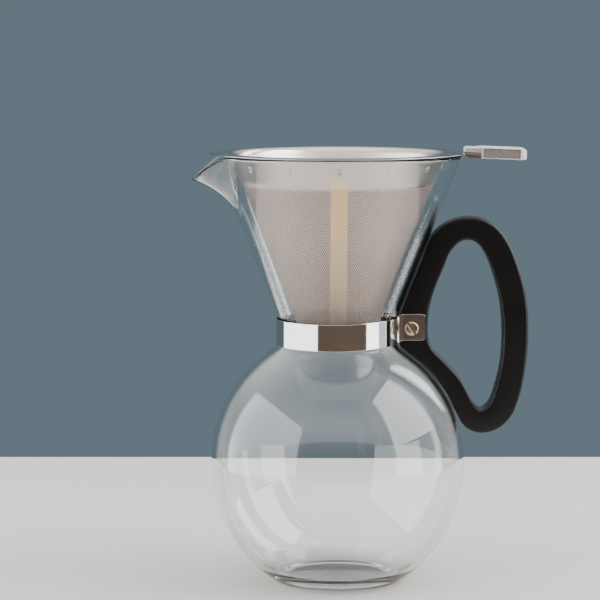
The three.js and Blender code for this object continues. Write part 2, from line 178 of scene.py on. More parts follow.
def turned(name, outline, segments=160, closed=False, change=None):
    """An outline of (radius, height) turned round Z. Points on the axis become poles."""
    vertices, rows = [], []
    for radius, z in outline:
        if radius < 1e-6:
            rows.append([len(vertices)] * segments)
            vertices.append((0.0, 0.0, z))
            continue
        rows.append(list(range(len(vertices), len(vertices) + segments)))
        for k in range(segments):
            angle = math.tau * k / segments
            vertices.append((radius * math.cos(angle), radius * math.sin(angle), z))
    if change:
        vertices = [change(*v) for v in vertices]
    faces = []
    pairs = list(zip(rows, rows[1:] + rows[:1])) if closed else list(zip(rows, rows[1:]))
    for low, high in pairs:
        for k in range(segments):
            n = (k + 1) % segments
            ring = [low[k], low[n], high[n], high[k]]
            corners = [v for i, v in enumerate(ring) if v != ring[i - 1]]
            if len(corners) > 2:
                faces.append(corners)
    return mesh_object(name, vertices, faces)


def swept(name, sections, closed=False):
    """Quads between sections of equal length, each a closed loop of points. Open ends are capped."""
    count = len(sections[0])
    vertices = [p for section in sections for p in section]
    faces = []
    spans = len(sections) if closed else len(sections) - 1
    for i in range(spans):
        a, b = i * count, ((i + 1) % len(sections)) * count
        for k in range(count):
            n = (k + 1) % count
            faces.append((a + k, a + n, b + n, b + k))
    if not closed:
        faces.append(tuple(range(count))[::-1])
        faces.append(tuple(range(len(vertices) - count, len(vertices))))
    return mesh_object(name, vertices, faces)


def combine(obj, other, operation):
    """Boolean of two objects, applied. The second object is removed."""
    modifier = obj.modifiers.new("join", "BOOLEAN")
    modifier.operation = operation
    modifier.solver = "MANIFOLD"
    modifier.object = other
    graph = bpy.context.evaluated_depsgraph_get()
    made = bpy.data.meshes.new_from_object(obj.evaluated_get(graph))
    obj.modifiers.clear()
    old = obj.data
    obj.data = made
    made.name = obj.name
    bpy.data.meshes.remove(old)
    bpy.data.objects.remove(other)
    return obj


def sharp_at(obj, degrees):
    """Smooth shading that keeps edges steeper than this sharp."""
    for face in obj.data.polygons:
        face.use_smooth = True
    obj.data.set_sharp_from_angle(angle=math.radians(degrees))


def screw_ring(radius, y, segments=36):
    """A circle round the clamp screw's axis."""
    circle = arc(0, 0, radius, 0, math.tau, segments)[:-1]
    return [(SCREW_X + a, y, SCREW_Z + b) for a, b in circle]


def across_screw(radius, y_from, y_to):
    """A cylinder along Y on the clamp screw's axis, as a scratch object for cutting."""
    return swept("cutter", [screw_ring(radius, y, 48) for y in (y_from, y_to)])


def rounded_rectangle(x0, z0, x1, z1, r, steps=5):
    corners = ((x1 - r, z1 - r, 0), (x0 + r, z1 - r, 90), (x0 + r, z0 + r, 180), (x1 - r, z0 + r, 270))
    loop = []
    for cx, cz, start in corners:
        for i in range(steps + 1):
            t = math.radians(start + 90 * i / steps)
            loop.append((cx + r * math.cos(t), cz + r * math.sin(t)))
    return loop


def box_cutter(low, high):
    corners = [
        [(x, low[1], low[2]), (x, high[1], low[2]), (x, high[1], high[2]), (x, low[1], high[2])]
        for x in (low[0], high[0])
    ]
    return swept("cutter", corners)


# ------------------------------------------------------------------ glass

def glass_outline():
    """Outer outline from the edge of the foot up to the rim."""
    steps = 34
    lowest = -math.asin((BULB_Z - FOOT_HEIGHT) / BULB_LOW)
    highest = math.radians(56.5)
    start = (BULB_R * math.cos(lowest), BULB_Z + BULB_LOW * math.sin(lowest))
    points = [(FOOT_R, 0.0)]
    points += quadratic((FOOT_R, 0.0), (FOOT_CORNER, 0.0), start, 8)
    for i in range(1, steps + 1):
        a = lowest * (1 - i / steps)
        points.append((BULB_R * math.cos(a), BULB_Z + BULB_LOW * math.sin(a)))
    for i in range(1, steps + 1):
        a = highest * i / steps
        points.append((BULB_R * math.cos(a), BULB_Z + BULB_UP * math.sin(a)))
    shoulder = points[-1]
    slope = -BULB_UP / (BULB_R * math.tan(highest))
    bend = (NECK_R, shoulder[1] + slope * (NECK_R - shoulder[0]))
    points += quadratic(shoulder, bend, (NECK_R, NECK_FROM), 10)
    meet = CONE_AT + (NECK_R - CONE_R) / CONE_SLOPE
    cone_from = 2 * meet - NECK_TO
    points += quadratic((NECK_R, NECK_TO), (NECK_R, meet), (cone_radius(cone_from), cone_from), 8)
    points += [(cone_radius(z), z) for z in (136.0, 145.0, 155.0, 164.0)]
    top = RIM_Z - RIM_ROUND * (1 + CONE_SLOPE / math.hypot(1, CONE_SLOPE))
    count = 40
    for i in range(count + 1):
        z = SPOUT_FROM - 2 + (top - SPOUT_FROM + 2) * i / count
        points.append((cone_radius(z), z))
    return points


def inward(outline, thickness):
    """The outline moved to its inner side by thickness(z)."""
    moved = []
    for i, (r, z) in enumerate(outline):
        r0, z0 = outline[max(i - 1, 0)]
        r1, z1 = outline[min(i + 1, len(outline) - 1)]
        length = math.hypot(r1 - r0, z1 - z0)
        t = thickness(z)
        moved.append((r - (z1 - z0) / length * t, z + (r1 - r0) / length * t))
    return moved


def pull_spout(x, y, z):
    """Bends the funnel's wall out into the spout near -X, and keeps the wall's thickness."""
    rise = (z - SPOUT_FROM) / (RIM_Z - SPOUT_FROM)
    angle = abs(math.atan2(y, -x))
    half = math.radians(SPOUT_HALF[0] + (SPOUT_HALF[1] - SPOUT_HALF[0]) * min(rise, 1.0))
    if rise <= 0 or angle >= half:
        return (x, y, z)
    rise = min(rise, 1.0)
    root = (cone_radius(SPOUT_FROM), SPOUT_FROM)
    bend_r, bend_z = cubic(root, *SPOUT_BEND, rise)
    near = math.cos(math.pi / 2 * angle / half)
    radius = math.hypot(x, y)
    out = (bend_r - cone_radius(z)) * near ** 1.2
    down = (bend_z - z) * near ** 2
    scale = (radius + out) / radius
    return (x * scale, y * scale, z + down)


def build_glass():
    outer = glass_outline()
    inner = inward(outer, lambda z: BULB_WALL + WALL_GAIN * smoothstep(z, BULB_Z, NECK_FROM))
    (r0, z0), (r1, z1) = outer[-1], inner[-1]
    middle = ((r0 + r1) / 2, (z0 + z1) / 2)
    start = math.atan2(z0 - middle[1], r0 - middle[0])
    rim = arc(*middle, RIM_ROUND, start, start + math.pi, 12)[1:-1]
    wall = [p for p in inner if p[1] > 7.0][::-1]
    foot = [(0.0, 1.3), (8.0, 1.25), (16.0, 1.0), (21.0, 0.6), (24.5, 0.2), (26.0, 0.03)]
    low_r, low_z = wall[-1]
    floor = quadratic((low_r, low_z), (low_r - 7.5, 3.9), (20.0, 3.5), 8) + [(10.0, 3.3), (0.0, 3.2)]
    return turned("glass_vessel", foot + outer + rim + wall + floor, 192, change=pull_spout)


# ------------------------------------------------------------------ neck band

def even_shading(obj, degrees):
    """Sharp edges above an angle, and normals that lean towards each edge's larger face."""
    sharp_at(obj, degrees)
    modifier = obj.modifiers.new("even", "WEIGHTED_NORMAL")
    modifier.keep_sharp = True
    modifier.weight = 90


def band_rise(x):
    """How far the strip has climbed by x, on its way to the ears."""
    return RING_RISE * smoothstep(x, 0, 26) + EAR_RISE * smoothstep(x, 27.5, EAR_FROM)


def band_path():
    """Centre line seen from above, from one ear's end round the neck to the other's."""
    middle = BAND_IN + BAND_T / 2
    bend_y = EAR_Y + BAND_BEND
    bend_x = math.sqrt((middle + BAND_BEND) ** 2 - bend_y ** 2)
    leave = math.asin(bend_y / (middle + BAND_BEND))
    ear = [(EAR_TO - EAR_CORNER + EAR_CORNER * math.cos(math.radians(d)), EAR_Y)
           for d in range(0, 91, 10)]
    flat = [(x, EAR_Y) for x in (38.5, 37.0, 35.5, 34.0, 32.5, 31.5, 30.8, 30.2)]
    bend = arc(bend_x, bend_y, BAND_BEND, 1.5 * math.pi, math.pi + leave, 8)
    upper = ear + flat + bend
    ring = arc(0, 0, middle, leave, math.tau - leave, 168)[1:-1]
    return upper + ring + [(x, -y) for x, y in upper[::-1]]


def build_band():
    path = band_path()
    half_t, round_r = BAND_T / 2, 0.22
    sections = []
    for i, (x, y) in enumerate(path):
        x0, y0 = path[max(i - 1, 0)]
        x1, y1 = path[min(i + 1, len(path) - 1)]
        if i == 0 or i == len(path) - 1:
            tangent = Vector((x1 - x0, 0.0))
        else:
            tangent = Vector((x1 - x0, y1 - y0))
        tangent.normalize()
        normal = (tangent.y, -tangent.x)
        over = max(x - (EAR_TO - EAR_CORNER), 0.0)
        drop = EAR_CORNER - math.sqrt(max(EAR_CORNER ** 2 - over ** 2, 0.0))
        low = BAND_Z + band_rise(x) + drop
        high = BAND_Z + BAND_H + band_rise(x) - drop
        loop = rounded_rectangle(-half_t, low, half_t, high, round_r, 3)
        sections.append([(x + normal[0] * u, y + normal[1] * u, z) for u, z in loop])
    band = swept("neck_strap", sections)
    combine(band, across_screw(SHANK_R + GAP, -10, 10), "DIFFERENCE")
    even_shading(band, 35)
    return band


# ------------------------------------------------------------------ handle

HANDLE_OUTSIDE = [
    (60.9, 75.4), (68.5, 72.3), (77, 74.3), (83.2, 80), (87.2, 89.5), (90, 104), (91.2, 121),
    (90, 138), (86.4, 152), (81, 164.8), (74.5, 172.6), (66, 176.2), (56.6, 175.4), (49, 171.6),
]
HANDLE_OPENING = [
    (59.5, 165), (53.8, 159.9), (50.3, 151.8), (46.4, 142.1), (43.6, 132), (43.2, 119), (45.2, 113.5),
    (51, 107.3), (58.7, 98.5), (65, 86.8), (68.5, 83.7), (72.5, 86.3), (76, 95.6), (78.4, 107.3),
    (79, 121), (78, 134), (75.2, 146), (70.3, 158.6), (65.3, 164.6),
]
HANDLE_CENTRE = (61.5, 124.0)


def handle_outline():
    cone = [(cone_radius(z) + HANDLE_OFF, z) for z in (166.5, 156, 145, 134, 129.5)]
    neck = [(NECK_R + HANDLE_OFF, z) for z in (126, 118)]
    shoulder = [(29.7, 114.2), (31.6, 112.3)]
    bulb = [(bulb_radius(z) + HANDLE_OFF, z) for z in (110.5, 108, 105, 98, 90, 83)]
    return cone + neck + shoulder + bulb + HANDLE_OUTSIDE


def smooth_loop(points, each=24):
    """A closed centripetal Catmull-Rom curve through points."""
    loop = []
    n = len(points)
    for i in range(n):
        p = [Vector(points[(i + k) % n]) for k in (-1, 0, 1, 2)]
        knots = [0.0]
        for a, b in zip(p, p[1:]):
            knots.append(knots[-1] + math.sqrt((b - a).length))
        t0, t1, t2, t3 = knots
        for j in range(each):
            t = t1 + (t2 - t1) * j / each
            a1 = (t1 - t) / (t1 - t0) * p[0] + (t - t0) / (t1 - t0) * p[1]
            a2 = (t2 - t) / (t2 - t1) * p[1] + (t - t1) / (t2 - t1) * p[2]
            a3 = (t3 - t) / (t3 - t2) * p[2] + (t - t2) / (t3 - t2) * p[3]
            b1 = (t2 - t) / (t2 - t0) * a1 + (t - t0) / (t2 - t0) * a2
            b2 = (t3 - t) / (t3 - t1) * a2 + (t - t1) / (t3 - t1) * a3
            loop.append((t2 - t) / (t2 - t1) * b1 + (t - t1) / (t2 - t1) * b2)
    return loop


def reach(loop, angle):
    """Where a ray from the handle's centre at this angle meets the loop."""
    centre = Vector(HANDLE_CENTRE)
    ray = Vector((math.cos(angle), math.sin(angle)))
    side = Vector((-ray.y, ray.x))
    best = None
    for a, b in zip(loop, loop[1:] + loop[:1]):
        a, b = a - centre, b - centre
        sa, sb = a.dot(side), b.dot(side)
        if (sa <= 0 < sb) or (sb <= 0 < sa):
            hit = a + (b - a) * (sa / (sa - sb))
            if hit.dot(ray) > 0 and (best is None or hit.dot(ray) < best):
                best = hit.dot(ray)
    return centre + ray * best


def build_handle():
    outer, opening = smooth_loop(handle_outline()), smooth_loop(HANDLE_OPENING)
    half, edge, spokes = HANDLE_T / 2, HANDLE_EDGE, 240
    crown = 0.2
    sections = []
    for k in range(spokes):
        angle = math.tau * k / spokes
        a, b = reach(outer, angle), reach(opening, angle)
        width = (b - a).length
        profile = []
        quarter = [math.radians(d) for d in (0, 15, 30, 45, 60, 75, 90)]
        straight = half - edge
        profile += [(0.0, 0.0), (0.0, 0.18), (0.12, 0.3), (0.04, straight * 0.5)]
        rounded = [(edge * (1 - math.cos(t)), straight - crown + edge * math.sin(t)) for t in quarter]
        profile += rounded
        for s in (0.2, 0.35, 0.5, 0.65, 0.8):
            profile.append((edge + (width - 2 * edge) * s, half - crown * (2 * s - 1) ** 2))
        profile += [(width - d, y) for d, y in rounded[::-1]]
        profile += [(width - 0.04, straight * 0.5), (width - 0.12, 0.3), (width, 0.18)]
        lower = [(d, -y) for d, y in profile[:0:-1]]
        loop = profile + [(width, 0.0)] + lower
        along = (b - a).normalized()
        section = []
        for d, y in loop:
            p = a + along * d
            section.append((p.x, y, p.y))
        sections.append(section)
    handle = swept("handle_loop", sections, closed=True)
    combine(handle, across_screw(SHANK_R + GAP, -10, 10), "DIFFERENCE")
    even_shading(handle, 50)
    return handle


# ------------------------------------------------------------------ clamp hardware

def helix_ridge(radius, depth, pitch, y_from, y_to):
    """Sections of a threaded rod along Y: a round whose radius follows a helical ridge."""
    around, per_turn = 36, 10
    steps = int((y_to - y_from) / pitch * per_turn)
    rings = []
    for i in range(steps + 1):
        y = y_from + (y_to - y_from) * i / steps
        ring = []
        for k in range(around):
            angle = math.tau * k / around
            wave = (y / pitch - angle / math.tau) % 1.0
            height = 1 - abs(2 * wave - 1) * 1.15
            r = radius - depth + depth * min(max(height * 1.3, 0.0), 1.0)
            ring.append((SCREW_X + r * math.cos(angle), y, SCREW_Z + r * math.sin(angle)))
        rings.append(ring)
    return rings


def build_screw():
    """Slotted cheese head with a rounded edge, plain shank and threaded end."""
    under = -EAR_FACE - GAP
    face = under - HEAD_H
    tip = NUT_FROM + NUT_T + 1.2
    outline = [(1.6, face), (2.7, face + 0.08), (3.1, face + 0.25), (3.32, face + 0.55),
               (HEAD_R, face + 0.9), (HEAD_R, under - 0.25), (HEAD_R - 0.12, under - 0.06),
               (HEAD_R - 0.3, under), (2.05, under), (SHANK_R, under + 0.1)]
    thread_from = 4.0
    rings = [screw_ring(r, y) for r, y in outline]
    rings.append(screw_ring(SHANK_R, thread_from))
    rings += helix_ridge(SHANK_R, 0.3, THREAD_PITCH, thread_from + 0.1, tip - 0.5)
    rings += [screw_ring(r, y) for r, y in ((1.75, tip - 0.35), (1.4, tip))]
    screw = swept("cheese_head_screw", rings)
    half, deep, chamfer = 0.6, 0.95, 0.22
    trench = [(-half - chamfer, -0.1), (half + chamfer, -0.1), (half + chamfer, 0.0), (half, chamfer),
              (half, deep), (-half, deep), (-half, chamfer), (-half - chamfer, 0.0)]
    slot = swept("slot", [[(x, y, z) for z, y in trench] for x in (-5, 5)])
    turn = Matrix.Rotation(SLOT_ANGLE, 4, "Y")
    to_head = Matrix.Translation(Vector((SCREW_X, face, SCREW_Z)) * MM)
    slot.data.transform(to_head @ turn)
    combine(screw, slot, "DIFFERENCE")
    even_shading(screw, 35)
    return screw


def build_lock_washer():
    """Split ring whose two ends stand a little apart along the screw."""
    inner, outer, thick = 2.3, 3.6, WASHER_T
    start = WASHER_FROM
    gap = math.radians(9)
    sections = []
    for i in range(61):
        share = i / 60
        angle = math.radians(90) + gap + (math.tau - 2 * gap) * share
        lift = 0.12 * (share - 0.5)
        mid = start + thick / 2 + lift
        h = thick / 2 - 0.07
        corners = [(inner, -h + 0.1), (inner + 0.1, -h), (outer - 0.15, -h), (outer, -h + 0.15),
                   (outer, h - 0.15), (outer - 0.15, h), (inner + 0.1, h), (inner, h - 0.1)]
        sections.append([
            (SCREW_X + r * math.cos(angle), mid + y, SCREW_Z + r * math.sin(angle))
            for r, y in corners
        ])
    washer = swept("split_washer", sections)
    sharp_at(washer, 30)
    return washer


def build_nut():
    """Hex nut with chamfered corners and a countersunk, threaded bore."""
    start, thick, flats, bore = NUT_FROM, NUT_T, NUT_FLATS, NUT_BORE
    corner = flats / math.sqrt(3)
    steps, thread_rows = 72, 32
    countersink, face_r, inset = bore + 0.35, 3.3, 0.4
    angles = [math.tau * k / steps for k in range(steps)]

    def hex_radius(angle):
        local = (angle + math.radians(30)) % math.radians(60) - math.radians(30)
        return flats / 2 / math.cos(local)

    def chamfer(angle):
        return 0.45 * (hex_radius(angle) - flats / 2) / (corner - flats / 2) + 0.02

    def ring(radius_at, y_at):
        return [
            (SCREW_X + radius_at(t) * math.cos(t), y_at(t), SCREW_Z + radius_at(t) * math.sin(t))
            for t in angles
        ]

    def circle(radius, y):
        return ring(lambda t: radius, lambda t: y)

    rings = [
        circle(bore, start + inset), circle(countersink, start), circle(face_r, start),
        ring(hex_radius, lambda t: start + chamfer(t)),
        ring(hex_radius, lambda t: start + thick - chamfer(t)),
        circle(face_r, start + thick), circle(countersink, start + thick),
        circle(bore, start + (thick - inset)),
    ]
    threads = []
    for i in range(1, thread_rows + 1):
        y = start + thick - inset - (thick - 2 * inset) * i / (thread_rows + 1)

        def thread_radius(t, y=y):
            wave = (y / THREAD_PITCH - t / math.tau) % 1.0
            return bore - 0.1 * (1 - abs(2 * wave - 1))

        threads.append(ring(thread_radius, lambda t, y=y: y))
    nut = swept("hex_nut", rings + threads, closed=True)
    sharp_at(nut, 28)
    return nut


# ------------------------------------------------------------------ filter

def on_tab(obj):
    """From the tab's own frame, with its root at the origin, to its place on the flange's edge."""
    place = Matrix.Translation(Vector((FLANGE_R, 0, FLANGE_Z + FLANGE_T)) * MM)
    obj.data.transform(place @ Matrix.Rotation(GRIP_SLOPE, 4, "Y"))
    return obj


def build_rim():
    """Flange and collar in one pressing, with the tab for the grip and the weld spots."""
    top = FLANGE_Z + FLANGE_T

    def inner(z):
        return collar_radius(z) - COLLAR_T * SLANT

    under = [(collar_radius(COLLAR_BEND), COLLAR_BEND)] + quadratic(
        (collar_radius(COLLAR_BEND), COLLAR_BEND), (collar_radius(FLANGE_Z), FLANGE_Z),
        (FLANGE_BEND, FLANGE_Z), 10)
    over = [(FLANGE_BEND, top)] + quadratic(
        (FLANGE_BEND, top), (inner(top), top), (inner(COLLAR_BEND), COLLAR_BEND), 10)
    edge = arc(FLANGE_R - FLANGE_T / 2, FLANGE_Z + FLANGE_T / 2, FLANGE_T / 2,
               -math.pi / 2, math.pi / 2, 8)
    outline = [(collar_radius(COLLAR_LOW) - 0.1, COLLAR_LOW),
               (collar_radius(COLLAR_LOW + 0.12), COLLAR_LOW + 0.12)]
    outline += [(collar_radius(z), z) for z in (195.0, 198.0, 201.0)]
    outline += under + [(57.5, FLANGE_Z)] + edge + [(57.5, top)] + over
    outline += [(inner(z), z) for z in (201.0, 198.0, 195.0, COLLAR_LOW)]
    rim = turned("filter_flange", outline, 240, closed=True)

    half, thick, length, deep = TAB_HALF, TAB_T, TAB_LENGTH, TAB_DEEP
    profile = [(-half, -deep), (-half, -0.5)]
    profile += [(-half + 0.5 - 0.5 * math.cos(math.radians(a)), -0.5 + 0.5 * math.sin(math.radians(a)))
                for a in (30, 60, 90)]
    profile += [(-y, z) for y, z in profile[::-1]]
    inside = [(half - thick, -deep), (half - thick, -thick), (-half + thick, -thick),
              (-half + thick, -deep)]
    loop = profile + inside
    flat = [(y, max(z, -thick + 0.02)) for y, z in loop]
    stations = [(-2.4, flat), (-0.6, flat), (0.2, loop), (length * 0.5, loop), (length, loop)]
    tab = swept("tab", [[(x, y, z) for y, z in section] for x, section in stations])
    combine(tab, box_cutter((2.8, -8, -1.7), (5.0, 8, -0.9)), "DIFFERENCE")
    combine(rim, on_tab(tab), "UNION")
    sharp_at(rim, 40)

    z = WELD_Z
    tilt = math.atan(SHEET_SLOPE)
    crater = [(0.0, -0.2), (1.75, -0.2), (1.8, -0.05), (1.6, 0.12), (1.25, 0.2), (0.9, 0.04), (0.0, 0.02)]
    for k in range(WELD_SPOTS):
        spot = turned("spot", crater, 20)
        angle = math.radians(-90) + math.tau * k / WELD_SPOTS
        turn = Matrix.Rotation(angle, 4, "Z") @ Matrix.Rotation(math.radians(90) + tilt, 4, "Y")
        at = Vector((collar_radius(z) * math.cos(angle), collar_radius(z) * math.sin(angle), z))
        spot.data.transform(Matrix.Translation(at * MM) @ turn)
        join_into(rim, spot)
    return rim


def join_into(obj, other):
    """Adds the other object's mesh to this one."""
    work = bmesh.new()
    work.from_mesh(obj.data)
    work.from_mesh(other.data)
    work.to_mesh(obj.data)
    work.free()
    bpy.data.objects.remove(other)


def cone_wall(name, radius_at, thick, low, high, seam_half=0.0, seam_lift=0.0, rows=24):
    """A conical sheet with a lapped seam towards -Y and flat-pattern UVs in millimetres."""
    seam = [-seam_half - 0.25, -seam_half, -seam_half * 0.5, 0.0,
            seam_half * 0.5, seam_half, seam_half + 0.25] if seam_half else [0.0]
    rest = 180
    heights = [low + (high - low) * i / rows for i in range(rows + 1)]
    across = thick * SLANT

    def ring(z, radius, lifted):
        edge = seam[-1] / radius
        angles = [s / radius for s in seam]
        span = math.tau - 2 * edge
        angles += [edge + span * k / (rest + 1) for k in range(1, rest + 1)]
        out = []
        for i, a in enumerate(angles):
            lift = seam_lift if lifted and 0 < i < len(seam) - 1 else 0.0
            out.append(((radius + lift) * math.sin(a), -(radius + lift) * math.cos(a), z))
        return out

    rings = [ring(z, radius_at(z), True) for z in heights]
    rings += [ring(z, radius_at(z) - across, False) for z in heights[::-1]]
    wall = swept(name, rings, closed=True)
    flat_pattern_uv(wall)
    sharp_at(wall, 60)
    return wall


def flat_pattern_uv(obj):
    """UVs in millimetres of the flat sheet that the cone was rolled from."""
    half_angle = math.atan(SHEET_SLOPE)
    apex = SHEET_AT - SHEET_R / SHEET_SLOPE
    layer = obj.data.uv_layers.new(name="flat")
    for polygon in obj.data.polygons:
        turns = []
        for i in polygon.loop_indices:
            co = obj.data.vertices[obj.data.loops[i].vertex_index].co / MM
            turns.append((i, co, math.atan2(co.x, -co.y)))
        wide = max(t[2] for t in turns) - min(t[2] for t in turns) > math.pi
        for i, co, angle in turns:
            if wide and angle < 0:
                angle += math.tau
            distance = (co.z - apex) / math.cos(half_angle)
            turn = angle * math.sin(half_angle)
            layer.data[i].uv = (distance * math.sin(turn), -distance * math.cos(turn))


def build_base_cup():
    def inner(z):
        return sheet_radius(z) + NEST * SLANT

    def outer(z):
        return inner(z) + CUP_T * SLANT

    low, high, lip, floor = CUP_LOW, CUP_HIGH, CUP_LIP, CUP_FLOOR
    outline = [(lip, low + 0.2), (lip + 0.2, low), (outer(low) - 1.2, low)]
    outline += quadratic((outer(low) - 1.2, low), (outer(low) - 0.1, low), (outer(low + 1), low + 1), 5)
    outline += [(outer(high - 0.2), high - 0.2), (outer(high) - 0.25, high), (inner(high), high - 0.1)]
    outline += [(inner(floor + 0.6), floor + 0.6), (inner(floor) - 0.5, floor), (lip + 0.2, floor),
                (lip, floor - 0.2)]
    cup = turned("base_cup", outline, 128, closed=True)
    sharp_at(cup, 50)
    return cup


def build_base_mesh():
    low, high, radius = SCREEN_LOW, SCREEN_HIGH, SCREEN_R
    outline = [(0.0, low), (5.0, low), (10.0, low), (radius - 0.1, low), (radius, low + 0.1),
               (radius, high - 0.1), (radius - 0.1, high), (10.0, high), (5.0, high), (0.0, high)]
    return turned("base_screen", outline, 96)


def rounded_section(x, y_half, low, high, radius):
    """A rounded rectangle across X, the same width on both sides."""
    return [(x, y, z) for y, z in rounded_rectangle(-y_half, low, y_half, high, radius)]


def build_grip():
    """Moulded hood over the tab: a neck, a body with rounded corners and sunk side panels."""
    start, end, low, high, half = GRIP_FROM, GRIP_TO, GRIP_LOW, GRIP_HIGH, GRIP_HALF
    stations = [(start, 0.12), (start + 0.12, 0.0), (start + 1.0, 0.0)]
    stations += [(start + 2 + i * 2.6, 0.0) for i in range(6)]
    corner = 3.6
    stations += [(end - corner + corner * math.sin(math.radians(a)),
                  corner - corner * math.cos(math.radians(a))) for a in range(0, 91, 10)]
    sections = []
    for x, tuck in stations:
        over = max(x - (end - 2.2), 0.0) / 2.2
        y_half = half - tuck - (0.4 if x == end else 0.0)
        section_high = grip_top(x, high) - 1.3 * over ** 2.2
        section_low = low + 0.35 * over ** 3
        sections.append(rounded_section(x, y_half, section_low, section_high, 0.7 - 0.4 * over))
    body = swept("grip_moulding", sections)
    neck_sections = []
    for x, drop, half_at in ((-1.5, 0.8, 5.9), (-1.35, 0.5, 6.2), (-0.9, 0.2, 6.5), (-0.1, 0.05, 6.7),
                             (2.9, 0.02, 6.7), (4.6, 0.02, 6.75), (6.0, 0.02, 6.9), (7.9, 0.02, 7.0)):
        neck_sections.append(rounded_section(x, half_at, GAP, grip_top(x, high) - drop, 0.6))
    combine(body, swept("neck", neck_sections), "UNION")
    combine(body, box_cutter((start - 1, -6.3, low - 1), (21.8, 6.3, GAP)), "DIFFERENCE")
    panel = rounded_rectangle(start + 0.9, low + 0.5, end - 3.1, high - 0.55, 0.6)
    for side in (-1, 1):
        depths = sorted((side * (half - 0.45), side * (half + 1)))
        cutter = swept("panel", [[(x, y, z) for x, z in panel] for y in depths])
        combine(body, cutter, "DIFFERENCE")
    on_tab(body)
    bevel_edges(body, 0.08)
    return body


def grip_top(x, high):
    """Height of the grip's top: level over the body, falling a little along the neck."""
    t = math.sqrt(4 + max(8.4 - x, 0.0)) - 2
    return high - 0.4 * min(t, 1.0) ** 2


def bevel_edges(obj, width, sharper=40):
    """A small bevel on the edges sharper than an angle, as a modifier."""
    tidy_mesh(obj, merge=1e-6)
    modifier = obj.modifiers.new("edges", "BEVEL")
    modifier.width = width * MM
    modifier.segments = 3
    modifier.limit_method = "ANGLE"
    modifier.angle_limit = math.radians(sharper)
    even_shading(obj, 35)


# ------------------------------------------------------------------ materials

# Where a finish changes, in metres: low and high end of each smooth change.
COLLAR_BRIGHTENS = (0.2035, 0.2055)
FLANGE_STARTS = (0.2062, 0.2066)
COLLAR_SEAM_FADES = (0.2, 0.1935)
COLLAR_SEAM_HALF = (0.0044, 0.003)
CONE_SEAM_HALF = (0.0041, 0.0034)
CONE_DARKER_BELOW = (0.168, 0.112)
HOLES_END = 0.1915
GRIP_BODY = (0.0685, 0.0868)
GRIP_PANEL_FACE = 0.00705
# Perforation in the flat sheet and the mesh cloth's wires, in millimetres.
HOLE_PITCH, HOLE_R, HOLE_BLUR = 1.1, 0.3, 0.06
WIRE_PITCH = 0.5


class Nodes:
    """Short calls for building a node material."""

    def __init__(self, name, owner=None):
        self.material = owner or bpy.data.materials.new(name)
        self.material.use_nodes = True
        self.tree = self.material.node_tree
        self.shader = self.tree.nodes.get("Principled BSDF")

    def add(self, kind, inputs=None, **settings):
        node = self.tree.nodes.new(kind)
        for key, value in settings.items():
            setattr(node, key, value)
        for key, value in (inputs or {}).items():
            socket = node.inputs[key]
            if isinstance(value, bpy.types.NodeSocket):
                self.tree.links.new(value, socket)
            else:
                socket.default_value = value
        return node

    def math(self, operation, a, b=0.0, c=0.0):
        return self.add("ShaderNodeMath", {0: a, 1: b, 2: c}, operation=operation).outputs[0]

    def coords(self, output="Object"):
        return self.add("ShaderNodeTexCoord").outputs[output]

    def noise(self, vector, scale, detail=3.0, roughness=0.5, stretch=None):
        if stretch:
            vector = self.add("ShaderNodeMapping", {"Vector": vector, "Scale": stretch}).outputs[0]
        inputs = {"Vector": vector, "Scale": scale, "Detail": detail, "Roughness": roughness}
        return self.add("ShaderNodeTexNoise", inputs).outputs["Fac"]

    def ramp(self, value, stops):
        node = self.add("ShaderNodeValToRGB", {"Fac": value})
        ramp = node.color_ramp
        while len(ramp.elements) < len(stops):
            ramp.elements.new(0.5)
        for element, (at, colour) in zip(ramp.elements, stops):
            element.position = at
            element.color = (*colour, 1.0) if len(colour) == 3 else colour
        return node.outputs["Color"]

    def step(self, value, low, high):
        """0 below low, 1 above high, smooth between."""
        inputs = {"Value": value, "From Min": low, "From Max": high}
        node = self.add("ShaderNodeMapRange", inputs, interpolation_type="SMOOTHSTEP")
        return node.outputs["Result"]

    def mix(self, factor, a, b):
        node = self.add("ShaderNodeMix", {"Factor": factor, "A": a, "B": b}, data_type="RGBA")
        return node.outputs["Result"]

    def span(self, value, low, high):
        """Maps 0..1 to low..high."""
        inputs = {"Value": value, "To Min": low, "To Max": high}
        return self.add("ShaderNodeMapRange", inputs).outputs["Result"]

    def bump(self, height, strength, distance, normal=None):
        inputs = {"Height": height, "Strength": strength, "Distance": distance}
        if normal:
            inputs["Normal"] = normal
        return self.add("ShaderNodeBump", inputs).outputs["Normal"]

    def set(self, **inputs):
        names = {
            "colour": "Base Color", "rough": "Roughness", "metal": "Metallic", "normal": "Normal",
            "ior": "IOR", "transmission": "Transmission Weight", "coat": "Coat Weight",
            "coat_rough": "Coat Roughness", "specular": "Specular IOR Level",
            "anisotropy": "Anisotropic", "alpha": "Alpha",
        }
        for key, value in inputs.items():
            socket = self.shader.inputs[names[key]]
            if isinstance(value, bpy.types.NodeSocket):
                self.tree.links.new(value, socket)
            else:
                socket.default_value = value
        return self.material


def glass_material():
    n = Nodes("borosilicate_glass")
    at = n.coords()
    tint = n.ramp(n.noise(at, 9.0), [(0.3, (0.978, 0.984, 0.98)), (0.75, (0.99, 0.993, 0.99))])
    smudge = n.ramp(n.noise(at, 30.0, 6.0, 0.65), [(0.45, (0.0,) * 3), (0.8, (1.0,) * 3)])
    waves = n.bump(n.noise(at, 16.0, 1.0, stretch=(1, 1, 0.35)), 0.06, 0.0004)
    return n.set(colour=tint, rough=n.span(smudge, 0.0, 0.035), normal=waves, ior=1.47, transmission=1.0)


